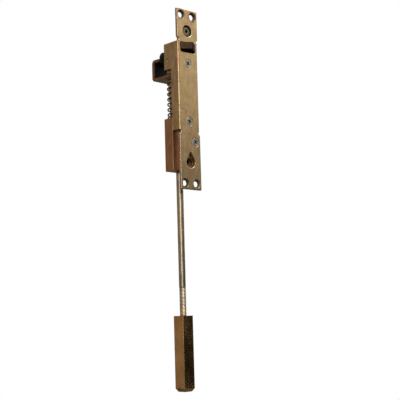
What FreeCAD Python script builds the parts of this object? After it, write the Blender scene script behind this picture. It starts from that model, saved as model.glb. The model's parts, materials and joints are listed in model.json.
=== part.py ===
import FreeCAD, Part
import math
import os

# Automatic flush bolt for a metal door, bottom-bolt hand: the rod points down.
# Millimetres.  X runs across the faceplate, +Y into the door, +Z up.
# The origin is the centre of the faceplate's front face, which is also the
# centre of the four-screw pattern.

V = FreeCAD.Vector
os.makedirs("parts", exist_ok=True)

# ---- faceplate and folded flanges ----
plate_length = 171.45
plate_width = 25.4
plate_thick = 2.4
fold_radius = 1.8
top_tab = 31.5
bottom_tab = 55.5
flange_deep = 19.4
flange_deep_height = 25.2
flange_shallow = 10.0
step_radius = 1.6
notch_radius = 1.8
corner_screw_inset = 5.6
corner_screw_hole = 5.2
corner_countersink = 8.6

# ---- clearances ----
slide_gap = 0.3
side_gap = 0.15
running_gap = 0.1
shaft_gap = 0.05
press_gap = 0.02
contact_gap = 0.45

half_width = plate_width / 2
half_length = plate_length / 2
inner_half = half_width - plate_thick
screw_x = half_width - corner_screw_inset
screw_z = half_length - corner_screw_inset
flange_top = half_length - top_tab
flange_step = flange_top - flange_deep_height
flange_bottom = bottom_tab - half_length

# ---- openings in the faceplate ----
window_inset = 1.0
window_drop = 0.6
window_height = 9.2
window_corner = 1.3
window_upper_corner = 0.4
upper_hole = 11.2
upper_hole_inset = 20.7
lower_hole = 11.2
lower_hole_inset = 25.5
lower_hole_peak = 9.3
lower_hole_peak_radius = 1.5

window_half = inner_half - window_inset
window_top = flange_top - window_drop
window_bottom = window_top - window_height
upper_hole_z = half_length - upper_hole_inset
lower_hole_z = lower_hole_inset - half_length

# ---- countersunk screws that hold the inner blocks ----
screw_shank = 4.1
screw_head = 8.4
screw_head_height = 2.2
screw_length = 8.6
recess_width = 3.6
recess_slot = 1.0
recess_depth = 1.5
carrier_screw_drop = 20.4
block_screw_drop = 4.0
side_screw_drop = 22.9

screw_hole_radius = screw_shank / 2 + shaft_gap
carrier_screw_z = flange_top - carrier_screw_drop

# ---- rod and bolt head ----
rod_dia = 6.35
rod_y = 16.0
rod_above_nut = 0.7
thread_engagement = 21.0
thread_runout = 2.0
bolt_size = 12.7
bolt_drop = 115.3
bolt_length = 68.5
bolt_bevel_height = 3.2
bolt_bevel_depth = 2.0
bolt_corner = 0.5
throw = 19.0

bolt_top = -half_length - bolt_drop
rod_front = rod_y - rod_dia / 2

# ---- yoke and its rollers ----
yoke_side_gap = 0.8
yoke_thick = 2.8
yoke_drop = 6.5
yoke_height = 21.0
yoke_front = 6.5
yoke_back = 40.4
yoke_corner = 3.6
strap_edge = 0.6
tongue_width = 5.8
roller_y = 25.8
roller_radius = 4.2
roller_rise = 0.8
roller_pin_dia = 3.0
pin_head_reach = 0.6
pin_head_thick = 0.5
eye_wall = 1.2
pad_thick = 1.2
pad_inset = 0.4

yoke_half = inner_half - yoke_side_gap
yoke_bottom = flange_step - yoke_drop
yoke_top = yoke_bottom + yoke_height
roller_z = yoke_top + roller_rise
rod_seat = yoke_bottom + yoke_thick

# ---- guide block ----
block_inset = 18.3
block_length = 49.6
block_back = 21.5
block_edge = 0.8
block_step_edge = 0.4
bush_outer = 9.0
bush_upper_length = 8.0
bush_lower_length = 5.5

block_bottom = block_inset - half_length
block_top = block_bottom + block_length
block_screw_z = block_top - block_screw_drop
side_screw_z = block_top - side_screw_drop

# ---- guide screw and the keyway it rides in ----
guide_screw_outer = 8.0
guide_screw_inset = 0.8
guide_screw_socket = 2.6
guide_socket_depth = 3.0
guide_dish_rim = 0.6
guide_dish_depth = 0.9
dog_radius = 1.4
keyway_depth = 1.4

# ---- springs, their seats, and the hardware on the rod ----
guide_wall = 0.6
guide_gap = 0.225
return_wire = 1.4
return_side_gap = 0.45
return_turns = 9
override_wire = 1.2
override_clear = 0.55
override_turns = 8
seat_thick = 1.0
seat_rim = 0.3
clip_thick = 0.8
clip_groove_depth = 0.575
clip_mouth = 0.8
nut_across_flats = 11.1
nut_height = 4.0

override_outer = rod_dia + 2 * slide_gap + 2 * override_wire
override_bottom = block_top + seat_thick + override_clear + throw + clip_thick + seat_thick
clip_bottom = override_bottom - seat_thick - clip_thick
clip_groove = rod_dia - 2 * clip_groove_depth
clip_outer = override_outer + 2 * seat_rim
return_outer = 2 * (inner_half - return_side_gap)
tube_outer = return_outer - 2 * return_wire - 2 * guide_gap
tube_inner = tube_outer - 2 * guide_wall
sleeve_outer = tube_inner - 2 * side_gap
sleeve_inner = sleeve_outer - 2 * guide_wall
sleeve_top = yoke_bottom - throw - slide_gap
tube_bottom = block_top + seat_thick + throw + slide_gap
washer_bore = rod_dia + 4 * running_gap
nut_bottom = rod_seat + seat_thick
rod_top = nut_bottom + nut_height + rod_above_nut

# ---- cam lever ----
lever_y = 14.1
lever_drop = 16.0
lever_pin_dia = 3.2
lever_plate = 2.0
lever_inner = 3.3
lever_hub_dia = 5.2
lever_boss = 3.9
lever_tip_margin = 0.6
lever_tip_radius = 0.8
lever_arm_height = 4.4
lever_top_start = 0.7
lever_top_radius = 2.0
toe_pin_dia = 3.0
toe_wall = 1.2

lever_z = flange_top - lever_drop
lever_outer = lever_inner + lever_plate

# ---- trigger ----
trigger_side_gap = 0.2
trigger_height = 6.6
trigger_top_gap = 0.6
trigger_nose = 7.0
trigger_left_out = 0.5
trigger_side_nose = 0.6
trigger_side_edge = 0.3
trigger_ridge = 1.0
trigger_ridge_radius = 0.6
trigger_back = 8.2
trigger_leg_half = 3.0
trigger_leg_wall = 1.8

trigger_travel = trigger_nose - trigger_left_out
trigger_top = window_top - trigger_top_gap
trigger_bottom = trigger_top - trigger_height
leg_bottom = lever_z + lever_hub_dia / 2 + slide_gap

# ---- carrier, upper bracket and its screw ----
carrier_wall_gap = 0.4
carrier_back = 18.4
carrier_web_foot = 8.6
carrier_web_back = 8.6
bracket_rise = 8.5
bracket_corner = 3.0
bracket_plate = 1.6
bracket_mouth = 9.6
bracket_boss = 5.4
bracket_boss_length = 6.4
bracket_shelf = 1.6
bracket_shelf_half = 4.3
bracket_shelf_back = 12.4
jack_screw_dia = 6.0
jack_screw_length = 7.0
jack_head_dia = 8.4
jack_head_front = 1.1
jack_socket = 3.0
jack_socket_depth = 2.6

carrier_inner = lever_outer + carrier_wall_gap


def save(name, *solids):
    shape = solids[0] if len(solids) == 1 else Part.makeCompound(list(solids))
    shape.exportStep("parts/%s.step" % name)


def block(x0, x1, y0, y1, z0, z1):
    return Part.makeBox(x1 - x0, y1 - y0, z1 - z0, V(x0, y0, z0))


def rod_x(x0, x1, y, z, radius):
    return Part.makeCylinder(radius, x1 - x0, V(x0, y, z), V(1, 0, 0))


def rod_y_axis(x, y0, y1, z, radius):
    return Part.makeCylinder(radius, y1 - y0, V(x, y0, z), V(0, 1, 0))


def rod_z(x, y, z0, z1, radius):
    return Part.makeCylinder(radius, z1 - z0, V(x, y, z0), V(0, 0, 1))


def outline(points):
    """Closed wire through points (vector, corner radius), corners as tangent arcs."""
    count = len(points)
    ends = []
    for i, (corner, radius) in enumerate(points):
        before = (points[i - 1][0] - corner).normalize()
        after = (points[(i + 1) % count][0] - corner).normalize()
        if radius <= 0:
            ends.append((corner, None, corner))
            continue
        half = before.getAngle(after) / 2
        reach = radius / math.tan(half)
        middle = (before + after).normalize()
        centre = corner + middle * (radius / math.sin(half))
        ends.append((corner + before * reach, centre - middle * radius, corner + after * reach))
    edges = []
    for i, (start, mid, finish) in enumerate(ends):
        if mid is not None:
            edges.append(Part.Arc(start, mid, finish).toShape())
        following = ends[(i + 1) % count][0]
        if finish.distanceToPoint(following) > 1e-6:
            edges.append(Part.LineSegment(finish, following).toShape())
    return Part.Wire(edges)


def prism_x(points, x0, x1):
    """Solid with a (y, z, corner radius) outline, drawn out from x0 to x1."""
    wire = outline([(V(x0, y, z), r) for y, z, r in points])
    return Part.Face(wire).extrude(V(x1 - x0, 0, 0))


def prism_y(points, y0, y1):
    """Solid with an (x, z, corner radius) outline, drawn out from y0 to y1."""
    wire = outline([(V(x, y0, z), r) for x, z, r in points])
    return Part.Face(wire).extrude(V(0, y1 - y0, 0))


def prism_z(points, z0, z1):
    """Solid with an (x, y, corner radius) outline, drawn out from z0 to z1."""
    wire = outline([(V(x, y, z0), r) for x, y, r in points])
    return Part.Face(wire).extrude(V(0, 0, z1 - z0))


def coil(y, z0, z1, outer, wire, turns):
    """Round-wire compression spring about a vertical axis, between two seats."""
    radius = (outer - wire) / 2
    height = z1 - z0 - wire
    helix = Part.makeHelix(height / turns, height, radius)
    start = V(radius, 0, 0)
    profile = Part.Wire(Part.makeCircle(wire / 2, start, V(0, 1, 0)))
    spring = Part.Wire(helix.Edges).makePipeShell([profile], True, True)
    spring.translate(V(0, y, z0 + wire / 2))
    return spring


def countersunk_screw(x, z):
    """Flat-head screw set flush in the faceplate, with a cross recess."""
    head = Part.makeCone(screw_head / 2, screw_shank / 2, screw_head_height, V(x, 0, z), V(0, 1, 0))
    shank = rod_y_axis(x, screw_head_height, screw_length, z, screw_shank / 2)
    screw = head.fuse(shank)
    for across, up in ((recess_width, recess_slot), (recess_slot, recess_width)):
        slot = block(x - across / 2, x + across / 2, 0, recess_depth, z - up / 2, z + up / 2)
        screw = screw.cut(slot)
    return screw.removeSplitter()


def countersunk_hole(x, z, through, mouth):
    """Hole through the faceplate with a cone that opens at the front face."""
    cone = Part.makeCone(mouth / 2, through / 2, screw_head_height, V(x, 0, z), V(0, 1, 0))
    return cone.fuse(rod_y_axis(x, 0, plate_thick, z, through / 2))


def make_faceplate():
    """Flat plate with two flanges folded back, as one pressed piece."""
    depth = flange_deep
    tray = prism_z(
        [
            (-half_width, 0, fold_radius), (half_width, 0, fold_radius),
            (half_width, depth, 0), (inner_half, depth, 0),
            (inner_half, plate_thick, 0), (-inner_half, plate_thick, 0),
            (-inner_half, depth, 0), (-half_width, depth, 0),
        ],
        flange_bottom, flange_top,
    )
    side = prism_x(
        [
            (0, flange_bottom, 0), (0, flange_top, 0), (depth, flange_top, step_radius / 2),
            (depth, flange_step, step_radius / 2), (flange_shallow, flange_step, step_radius),
            (flange_shallow, flange_bottom, step_radius / 2),
        ],
        -half_width, half_width,
    )
    ends = []
    for z0, z1 in ((flange_top, half_length), (-half_length, flange_bottom)):
        ends.append(block(-half_width, half_width, 0, plate_thick, z0, z1))
    body = tray.common(side).fuse(ends)
    cuts = []
    for x in (-half_width, half_width):
        for z in (flange_top + notch_radius, flange_bottom - notch_radius):
            cuts.append(rod_y_axis(x, 0, plate_thick, z, notch_radius))
    for x in (-screw_x, screw_x):
        for z in (-screw_z, screw_z):
            cuts.append(countersunk_hole(x, z, corner_screw_hole, corner_countersink))
    for x, z in ((0, carrier_screw_z), (0, block_screw_z), (screw_x, side_screw_z)):
        cuts.append(countersunk_hole(x, z, 2 * screw_hole_radius, screw_head + 2 * shaft_gap))
    cuts.append(prism_y(
        [
            (-window_half, window_bottom, window_corner), (window_half, window_bottom, window_corner),
            (window_half, window_top, window_upper_corner), (-window_half, window_top, window_upper_corner),
        ],
        0, plate_thick,
    ))
    cuts.append(rod_y_axis(0, 0, plate_thick, upper_hole_z, upper_hole / 2))
    cuts.append(teardrop_hole())
    for x in (-half_width, inner_half):
        cuts.append(rod_x(x, x + plate_thick, lever_y, lever_z, lever_pin_dia / 2 + press_gap))
    return body.cut(cuts).removeSplitter()


def teardrop_hole():
    """Round access hole that narrows to a small rounded peak above."""
    big = lower_hole / 2
    small = lower_hole_peak_radius
    rise = lower_hole_peak - small
    lean = math.asin((big - small) / rise)
    corners = []
    for side, radius, z in ((1, big, 0), (1, small, rise), (-1, small, rise), (-1, big, 0)):
        x = side * radius * math.cos(lean)
        corners.append((x, lower_hole_z + z + radius * math.sin(lean), 0))
    flare = prism_y(corners, 0, plate_thick)
    base = rod_y_axis(0, 0, plate_thick, lower_hole_z, big)
    peak = rod_y_axis(0, 0, plate_thick, lower_hole_z + rise, small)
    return flare.fuse([base, peak])


def make_guide_block():
    """Block that fills the tray, then widens behind the shallow flanges."""
    front_half = inner_half - side_gap
    shoulder = flange_shallow + side_gap
    body = prism_z(
        [
            (-front_half, plate_thick, 0), (front_half, plate_thick, 0),
            (front_half, shoulder, 0), (half_width, shoulder, block_step_edge),
            (half_width, block_back, block_edge), (-half_width, block_back, block_edge),
            (-half_width, shoulder, block_step_edge), (-front_half, shoulder, 0),
        ],
        block_bottom, block_top,
    )
    cuts = [rod_z(0, rod_y, block_bottom, block_top, rod_dia / 2 + 2 * running_gap)]
    bush_bore = bush_outer / 2 + press_gap
    cuts.append(rod_z(0, rod_y, block_top - bush_upper_length, block_top, bush_bore))
    cuts.append(rod_z(0, rod_y, block_bottom, block_bottom + bush_lower_length, bush_bore))
    for x, z in ((0, block_screw_z), (screw_x, side_screw_z)):
        cuts.append(rod_y_axis(x, plate_thick, screw_length + slide_gap, z, screw_hole_radius))
    thread_end = guide_screw_back() + slide_gap
    cuts.append(rod_y_axis(0, plate_thick, thread_end, lower_hole_z, guide_screw_outer / 2 + press_gap))
    cuts.append(rod_y_axis(0, thread_end, rod_y, lower_hole_z, dog_radius + side_gap))
    return body.cut(cuts).removeSplitter()


def make_bush(z0, z1):
    tube = rod_z(0, rod_y, z0, z1, bush_outer / 2)
    return tube.cut(rod_z(0, rod_y, z0, z1, rod_dia / 2 + running_gap))


def guide_screw_back():
    """Where the guide screw's thread ends, in front of the bush."""
    return rod_y - bush_outer / 2 - slide_gap


def make_guide_screw():
    """Headless screw whose dog point rides in the rod's keyway."""
    front = plate_thick + guide_screw_inset
    back = guide_screw_back()
    body = rod_y_axis(0, front, back, lower_hole_z, guide_screw_outer / 2)
    dog_tip = rod_front + keyway_depth - slide_gap
    dog = rod_y_axis(0, back, dog_tip, lower_hole_z, dog_radius)
    socket = rod_y_axis(0, front, front + guide_socket_depth, lower_hole_z, guide_screw_socket / 2)
    dish = Part.makeCone(
        guide_screw_outer / 2 - guide_dish_rim, guide_screw_socket / 2, guide_dish_depth,
        V(0, front, lower_hole_z), V(0, 1, 0),
    )
    return body.cut([socket, dish]).fuse(dog).removeSplitter()


def make_rod():
    """Pull rod: nut thread and clip groove above, keyway in the block, thread below."""
    rod = rod_z(0, rod_y, bolt_top - thread_engagement, rod_top, rod_dia / 2)
    keyway_half = dog_radius + side_gap
    keyway = block(
        -keyway_half, keyway_half, rod_front, rod_front + keyway_depth,
        lower_hole_z - dog_radius - slide_gap, lower_hole_z + throw + dog_radius + slide_gap,
    )
    clip_top = clip_bottom + clip_thick
    groove = rod_z(0, rod_y, clip_bottom, clip_top, rod_dia / 2)
    groove = groove.cut(rod_z(0, rod_y, clip_bottom, clip_top, clip_groove / 2 - press_gap))
    return rod.cut([keyway, groove]).removeSplitter()


def make_clip():
    """E-shaped retaining clip in the rod's groove, open towards the back."""
    top = clip_bottom + clip_thick
    ring = rod_z(0, rod_y, clip_bottom, top, clip_outer / 2)
    mouth = clip_groove / 2 * clip_mouth
    gap = block(-mouth, mouth, rod_y, rod_y + clip_outer, clip_bottom, top)
    return ring.cut([rod_z(0, rod_y, clip_bottom, top, clip_groove / 2), gap])


def make_washer(z, outer, inner, thick):
    return rod_z(0, rod_y, z, z + thick, outer / 2).cut(rod_z(0, rod_y, z, z + thick, inner / 2))


def make_tube(z0, z1, outer, inner):
    """Thin guide tube inside the return spring."""
    return rod_z(0, rod_y, z0, z1, outer / 2).cut(rod_z(0, rod_y, z0, z1, inner / 2))


def make_nut():
    """Low hexagon nut above the yoke's lower arm."""
    corners = [(x, rod_y + y, 0) for x, y in hexagon(nut_across_flats)]
    nut = prism_z(corners, nut_bottom, nut_bottom + nut_height)
    return nut.cut(rod_z(0, rod_y, nut_bottom, nut_bottom + nut_height, rod_dia / 2 + shaft_gap))


def hexagon(across_flats):
    """Corners of a hexagon about the origin."""
    reach = across_flats / 2 / math.cos(math.radians(30))
    angles = [math.radians(60 * i + 30) for i in range(6)]
    return [(reach * math.cos(a), reach * math.sin(a)) for a in angles]


def make_bolt_head():
    """Square bolt, bevelled on all four sides at the tip, tapped for the rod."""
    half = bolt_size / 2
    tip = bolt_top - bolt_length
    shoulder = tip + bolt_bevel_height
    y0 = rod_y - half
    y1 = rod_y + half
    bar = prism_z(
        [
            (-half, y0, bolt_corner), (half, y0, bolt_corner),
            (half, y1, bolt_corner), (-half, y1, bolt_corner),
        ],
        tip, bolt_top,
    )
    slope = bolt_bevel_depth / bolt_bevel_height
    above = (bolt_top - shoulder) * slope
    wide = half + above
    narrow = half - bolt_bevel_depth
    lower = Part.makePolygon([V(x, rod_y + y, tip) for x, y in square(narrow)])
    upper = Part.makePolygon([V(x, rod_y + y, bolt_top) for x, y in square(wide)])
    taper = Part.makeLoft([lower, upper], True, True)
    hole_end = bolt_top - thread_engagement - thread_runout
    hole = rod_z(0, rod_y, hole_end, bolt_top, rod_dia / 2 + shaft_gap)
    return bar.common(taper).cut(hole).removeSplitter()


def square(half):
    return [(-half, -half), (half, -half), (half, half), (-half, half), (-half, -half)]


def make_yoke():
    """Flat strap bent to a C, with a tongue at its short arm that carries the rollers."""
    arm_end = roller_y + roller_radius + slide_gap
    inner_corner = yoke_corner - yoke_thick
    under = yoke_top - yoke_thick
    inside = yoke_back - yoke_thick
    strap = prism_x(
        [
            (yoke_front, yoke_bottom, strap_edge), (yoke_back, yoke_bottom, yoke_corner),
            (yoke_back, yoke_top, yoke_corner), (arm_end, yoke_top, strap_edge),
            (arm_end, under, strap_edge), (inside, under, inner_corner),
            (inside, rod_seat, inner_corner), (yoke_front, rod_seat, strap_edge),
        ],
        -yoke_half, yoke_half,
    )
    tongue_half = tongue_width / 2
    tongue = block(-tongue_half, tongue_half, roller_y, arm_end + yoke_thick, under, yoke_top)
    eye = rod_x(-tongue_half, tongue_half, roller_y, roller_z, roller_pin_dia / 2 + eye_wall)
    body = strap.fuse([tongue, eye])
    pin_hole = rod_x(-tongue_half, tongue_half, roller_y, roller_z, roller_pin_dia / 2 + press_gap)
    rod_hole = rod_z(0, rod_y, yoke_bottom, rod_seat, rod_dia / 2 + running_gap)
    return body.cut([pin_hole, rod_hole]).removeSplitter()


def make_yoke_pad():
    """Buffer pad on the inner face of the yoke's upright."""
    half = yoke_half - pad_inset
    inside = yoke_back - yoke_thick
    inner_corner = yoke_corner - yoke_thick
    low = rod_seat + inner_corner
    return block(-half, half, inside - pad_thick, inside, low, yoke_top - yoke_thick - inner_corner)


def make_roller(side):
    """Nylon roller on one side of the tongue; side is -1 or 1."""
    inner = tongue_width / 2 + side_gap
    outer = yoke_half - side_gap
    x0, x1 = sorted((side * inner, side * outer))
    roller = rod_x(x0, x1, roller_y, roller_z, roller_radius)
    return roller.cut(rod_x(x0, x1, roller_y, roller_z, roller_pin_dia / 2 + shaft_gap))


def make_roller_pin():
    """Pin through the tongue with a thin head outside each roller."""
    half = yoke_half + running_gap
    end = half + pin_head_thick
    pin = rod_x(-half, half, roller_y, roller_z, roller_pin_dia / 2)
    heads = []
    for x0, x1 in ((-end, -half), (half, end)):
        heads.append(rod_x(x0, x1, roller_y, roller_z, roller_pin_dia / 2 + pin_head_reach))
    return pin.fuse(heads).removeSplitter()


def lever_angle(drop):
    """Angle of the lever's underside, in degrees, when the rollers are down by drop."""
    across = roller_y - lever_y
    up = roller_z - drop - lever_z
    tangent = math.asin((roller_radius + contact_gap) / math.hypot(across, up))
    return math.degrees(math.atan2(up, across) + tangent)


def lever_turn():
    """Whole swing of the lever for the bolt's throw, in degrees."""
    return lever_angle(0) - lever_angle(throw)


def toe_radius():
    """Toe-pin radius that turns the trigger's travel into the lever's swing."""
    return trigger_travel / 2 / math.sin(math.radians(lever_turn() / 2))


def toe_point():
    """Toe-pin place with the trigger out, as (y, z)."""
    angle = math.radians(90 + lever_turn() / 2)
    return (lever_y + toe_radius() * math.cos(angle), lever_z + toe_radius() * math.sin(angle))


def make_lever_plate(side):
    """One cheek of the cam lever: boss, arm over the roller, toe for the cross pin."""
    angle = math.radians(lever_angle(0))
    x0, x1 = sorted((side * lever_inner, side * lever_outer))
    reach = math.hypot(roller_y - lever_y, roller_z - throw - lever_z) + lever_tip_margin

    def place(along, above):
        y = lever_y + along * math.cos(angle) - above * math.sin(angle)
        return (y, lever_z + along * math.sin(angle) + above * math.cos(angle))

    top = lever_arm_height
    shape = [
        (0, 0, 0), (reach, 0, lever_tip_radius), (reach, top / 2, lever_tip_radius),
        (reach * lever_top_start, top, lever_top_radius), (0, top, 0),
    ]
    arm = prism_x([place(a, b) + (r,) for a, b, r in shape], x0, x1)
    boss = rod_x(x0, x1, lever_y, lever_z, lever_boss)
    toe_y, toe_z = toe_point()
    toe_outer = toe_pin_dia / 2 + toe_wall
    lobe = rod_x(x0, x1, toe_y, toe_z, toe_outer)
    direction = V(0, toe_y - lever_y, toe_z - lever_z).normalize()
    sideways = V(0, -direction.z, direction.y)
    corners = []
    for centre, radius in (((lever_y, lever_z), lever_boss), ((toe_y, toe_z), toe_outer)):
        corners.append([V(x0, *centre) + sideways * radius * s for s in (-1, 1)])
    ring = [corners[0][0], corners[0][1], corners[1][1], corners[1][0]]
    neck = Part.Face(Part.makePolygon(ring + ring[:1])).extrude(V(x1 - x0, 0, 0))
    plate = arm.fuse([boss, lobe, neck])
    holes = [rod_x(x0, x1, lever_y, lever_z, lever_pin_dia / 2 + shaft_gap)]
    holes.append(rod_x(x0, x1, toe_y, toe_z, toe_pin_dia / 2 + press_gap))
    return plate.cut(holes).removeSplitter()


def make_lever_hub():
    tube = rod_x(-lever_inner, lever_inner, lever_y, lever_z, lever_hub_dia / 2)
    return tube.cut(rod_x(-lever_inner, lever_inner, lever_y, lever_z, lever_pin_dia / 2 + shaft_gap))


def make_toe_pin():
    toe_y, toe_z = toe_point()
    return rod_x(-lever_outer, lever_outer, toe_y, toe_z, toe_pin_dia / 2)


def make_trigger():
    """Two-sided wedge that slides in the window, with a forked leg behind it."""
    half = window_half - trigger_side_gap
    ridge = trigger_ridge / 2
    nose = prism_z(
        [
            (-half, -trigger_side_nose, trigger_side_edge), (-ridge, -trigger_nose, trigger_ridge_radius),
            (ridge, -trigger_nose, trigger_ridge_radius), (half, -trigger_side_nose, trigger_side_edge),
            (half, trigger_back, 0), (-half, trigger_back, 0),
        ],
        trigger_bottom, trigger_top,
    )
    toe_y, toe_z = toe_point()
    slot_half = toe_pin_dia / 2 + side_gap
    leg_half = trigger_leg_half
    leg_front = plate_thick + slide_gap
    leg_back = toe_y + slot_half + trigger_leg_wall
    leg = block(-leg_half, leg_half, leg_front, leg_back, leg_bottom, trigger_top)
    slot_top = lever_z + toe_radius() + toe_pin_dia / 2 + slide_gap
    slot = block(-leg_half, leg_half, toe_y - slot_half, toe_y + slot_half, leg_bottom, slot_top)
    return nose.fuse(leg).cut(slot).removeSplitter()


def make_carrier():
    """U-shaped carrier: a web behind the screw, and cheeks for the lever pin and trigger."""
    outer = inner_half - side_gap
    top = trigger_bottom - slide_gap
    web_top = leg_bottom - slide_gap
    web = block(-outer, outer, plate_thick, carrier_web_back, lever_z - carrier_web_foot, web_top)
    cheeks = []
    for x0, x1 in ((-outer, -carrier_inner), (carrier_inner, outer)):
        cheeks.append(block(x0, x1, plate_thick, carrier_back, rod_seat + slide_gap, top))
    body = web.fuse(cheeks)
    sweep = toe_radius() + toe_pin_dia / 2 + toe_wall + slide_gap
    relief = rod_x(-carrier_inner, carrier_inner, lever_y, lever_z, sweep)
    cuts = [relief, rod_x(-outer, outer, lever_y, lever_z, lever_pin_dia / 2 + shaft_gap)]
    cuts.append(rod_y_axis(0, plate_thick, screw_length + slide_gap, carrier_screw_z, screw_hole_radius))
    return body.cut(cuts).removeSplitter()


def make_upper_bracket():
    """Bracket behind the upper hole: plate with a wide mouth, threaded boss, trigger shelf."""
    half = inner_half - side_gap
    shelf_z = trigger_top + slide_gap
    top = upper_hole_z + bracket_rise
    boss_front = plate_thick + bracket_plate
    plate = prism_y(
        [(-half, shelf_z, 0), (half, shelf_z, 0), (half, top, bracket_corner), (-half, top, bracket_corner)],
        plate_thick, boss_front,
    )
    shelf = block(
        -bracket_shelf_half, bracket_shelf_half, plate_thick, bracket_shelf_back,
        shelf_z, shelf_z + bracket_shelf,
    )
    boss_back = boss_front + bracket_boss_length
    boss = rod_y_axis(0, boss_front, boss_back, upper_hole_z, bracket_boss)
    mouth = rod_y_axis(0, plate_thick, boss_front, upper_hole_z, bracket_mouth / 2)
    bore = rod_y_axis(0, boss_front, boss_back, upper_hole_z, jack_screw_dia / 2 + shaft_gap)
    return plate.fuse([boss, shelf]).cut([mouth, bore]).removeSplitter()


def make_jack_screw():
    """Screw with a round head and a hexagon socket, seen through the upper hole."""
    front = jack_head_front
    seat = plate_thick + bracket_plate
    head = rod_y_axis(0, front, seat, upper_hole_z, jack_head_dia / 2)
    shank = rod_y_axis(0, seat, seat + jack_screw_length, upper_hole_z, jack_screw_dia / 2)
    corners = [(x, upper_hole_z + z, 0) for x, z in hexagon(jack_socket)]
    return head.fuse(shank).cut(prism_y(corners, front, front + jack_socket_depth)).removeSplitter()


def make_block_screws():
    return [countersunk_screw(0, block_screw_z), countersunk_screw(screw_x, side_screw_z)]


save("faceplate", make_faceplate())
save("guide_block", make_guide_block())
save("upper_bush", make_bush(block_top - bush_upper_length, block_top))
save("lower_bush", make_bush(block_bottom, block_bottom + bush_lower_length))
save("block_screws", *make_block_screws())
save("guide_screw", make_guide_screw())
save("trigger_carrier", make_carrier())
save("carrier_screw", countersunk_screw(0, carrier_screw_z))
save("upper_bracket", make_upper_bracket())
save("jack_screw", make_jack_screw())
save("lever_pin", rod_x(-half_width, half_width, lever_y, lever_z, lever_pin_dia / 2))
save("spring_seat", make_washer(block_top, return_outer + 2 * seat_rim, washer_bore, seat_thick))
return_bottom = block_top + seat_thick
save("return_spring", coil(rod_y, return_bottom, yoke_bottom, return_outer, return_wire, return_turns))
save("spring_sleeve", make_tube(return_bottom, sleeve_top, sleeve_outer, sleeve_inner))
save("yoke_tube", make_tube(tube_bottom, yoke_bottom, tube_outer, tube_inner))
save("trigger", make_trigger())
save("lever_plate_left", make_lever_plate(-1))
save("lever_plate_right", make_lever_plate(1))
save("lever_hub", make_lever_hub())
save("toe_pin", make_toe_pin())
save("yoke", make_yoke())
save("yoke_pad", make_yoke_pad())
save("roller_left", make_roller(-1))
save("roller_right", make_roller(1))
save("roller_pin", make_roller_pin())
save("pull_rod", make_rod())
save("rod_washer", make_washer(rod_seat, clip_outer, washer_bore, seat_thick))
save("rod_nut", make_nut())
save("override_spring", coil(
    rod_y, override_bottom, yoke_bottom, override_outer, override_wire, override_turns))
save("override_seat", make_washer(override_bottom - seat_thick, clip_outer, washer_bore, seat_thick))
save("rod_clip", make_clip())
save("bolt_head", make_bolt_head())
print("lever swing %.4f degrees for a trigger travel of %.3f mm" % (lever_turn(), trigger_travel))
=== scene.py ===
import bpy
import bmesh
import json
import math
from mathutils import Matrix, Vector


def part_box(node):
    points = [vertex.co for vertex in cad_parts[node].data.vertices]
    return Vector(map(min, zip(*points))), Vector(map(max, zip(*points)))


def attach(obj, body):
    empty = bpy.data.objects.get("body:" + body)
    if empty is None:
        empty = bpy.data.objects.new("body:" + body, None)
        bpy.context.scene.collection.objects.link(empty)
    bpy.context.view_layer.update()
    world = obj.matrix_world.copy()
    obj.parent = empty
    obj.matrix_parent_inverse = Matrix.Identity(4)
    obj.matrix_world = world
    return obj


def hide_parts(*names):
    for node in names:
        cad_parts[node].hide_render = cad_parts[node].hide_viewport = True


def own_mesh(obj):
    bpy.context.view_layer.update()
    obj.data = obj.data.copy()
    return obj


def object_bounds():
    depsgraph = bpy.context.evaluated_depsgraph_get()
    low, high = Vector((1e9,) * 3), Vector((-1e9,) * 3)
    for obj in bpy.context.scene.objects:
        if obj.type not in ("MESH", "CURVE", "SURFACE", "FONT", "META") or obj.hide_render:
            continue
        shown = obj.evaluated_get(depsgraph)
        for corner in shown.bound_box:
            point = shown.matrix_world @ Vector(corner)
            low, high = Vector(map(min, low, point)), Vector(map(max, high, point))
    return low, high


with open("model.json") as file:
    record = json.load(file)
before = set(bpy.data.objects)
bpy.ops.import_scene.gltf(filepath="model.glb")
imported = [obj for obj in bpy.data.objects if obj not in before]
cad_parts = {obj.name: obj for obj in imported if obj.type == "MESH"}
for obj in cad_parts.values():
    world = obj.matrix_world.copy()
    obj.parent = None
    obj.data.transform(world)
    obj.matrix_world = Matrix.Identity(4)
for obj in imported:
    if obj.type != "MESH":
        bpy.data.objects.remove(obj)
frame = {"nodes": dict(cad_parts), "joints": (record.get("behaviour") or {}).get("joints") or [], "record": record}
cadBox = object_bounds()
nodes = frame["nodes"]
mm = 0.001
throw = next(j for j in frame["joints"] if j["name"] == "bolt_throw")["range_m"][1]
plateHoles = next(m for m in frame["record"]["mounts"] if m["name"] == "faceplate_screws")["dims"]
rodLow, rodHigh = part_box("pull_rod")
rodAxisY = (rodLow.y + rodHigh.y) / 2
print("frame loaded:", len(nodes), "nodes")


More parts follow.
